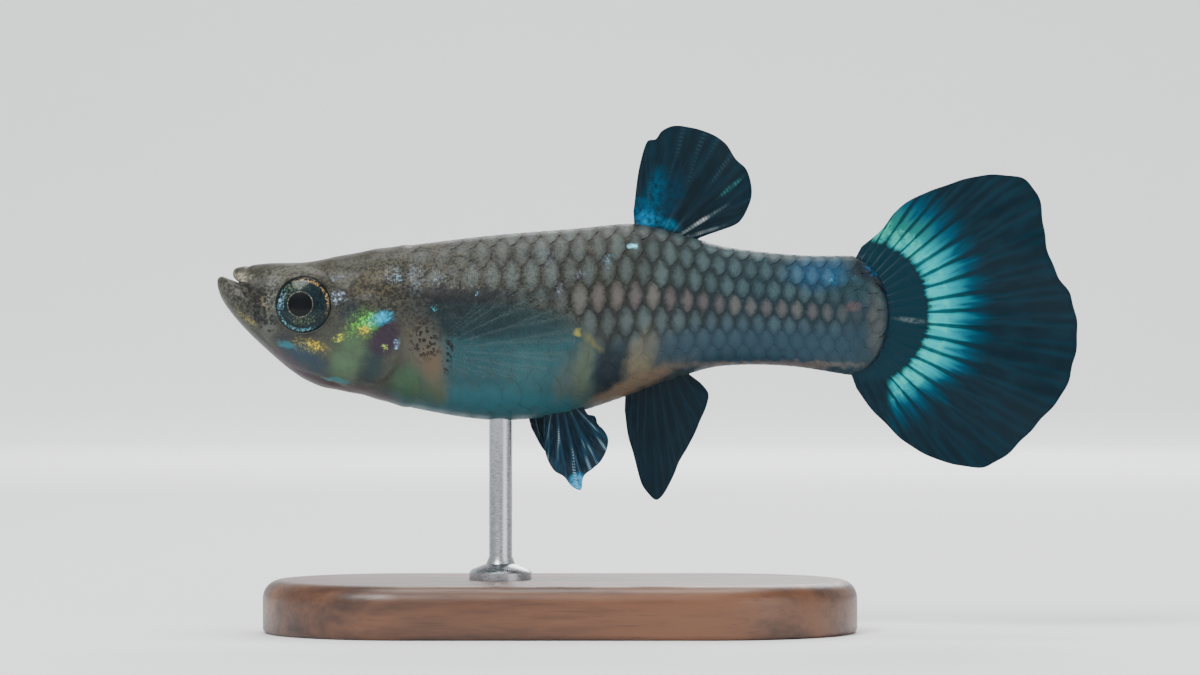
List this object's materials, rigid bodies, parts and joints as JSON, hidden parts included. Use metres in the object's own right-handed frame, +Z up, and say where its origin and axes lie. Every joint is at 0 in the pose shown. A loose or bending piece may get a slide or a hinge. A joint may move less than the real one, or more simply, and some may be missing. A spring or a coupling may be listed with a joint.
{
  "type": "fancy guppy display model",
  "caption": "Still life-size female fancy guppy with upturned mouth, dark fins and a turquoise band on the tail fin, held on a small stand.",
  "frame": {"origin": "centre of the stand base's flat underside", "axes": "+Z up, head towards -X and tail fin towards +X, the fish's left side towards -Y"},
  "size_m": [0.0521, 0.018, 0.0307],
  "materials": {
    "head_skin": "moist olive grey skin with fine dark speckles",
    "gill_skin": "moist green and gold iridescent skin",
    "eye": "clear glossy cornea over a dark teal iris",
    "trunk_skin": "moist scaled skin, pale scale centres in a dark net",
    "tail_skin": "moist scaled skin, blue grey",
    "dark_fin": "thin blue black membrane with fine rays",
    "bright_fin": "thin membrane with fine rays and a turquoise band",
    "clear_fin": "thin clear membrane with pale rays",
    "stand_wood": "satin dark hardwood",
    "stand_steel": "fine brushed"
  },
  "bodies": {
    "root": {"head": "head_skin", "upper_jaw": "head_skin", "lower_jaw": "head_skin", "gill_cover_left": "gill_skin", "gill_cover_right": "gill_skin", "eye_left": "eye", "eye_right": "eye", "trunk": "trunk_skin", "tail": "tail_skin", "dorsal_fin": "dark_fin", "anal_fin": "dark_fin", "caudal_fin": "bright_fin", "pelvic_fin_left": "dark_fin", "pelvic_fin_right": "dark_fin", "pectoral_fin_left": "clear_fin", "pectoral_fin_right": "clear_fin", "stand_base": "stand_wood", "stand_rod": "stand_steel"}
  },
  "joints": []
}
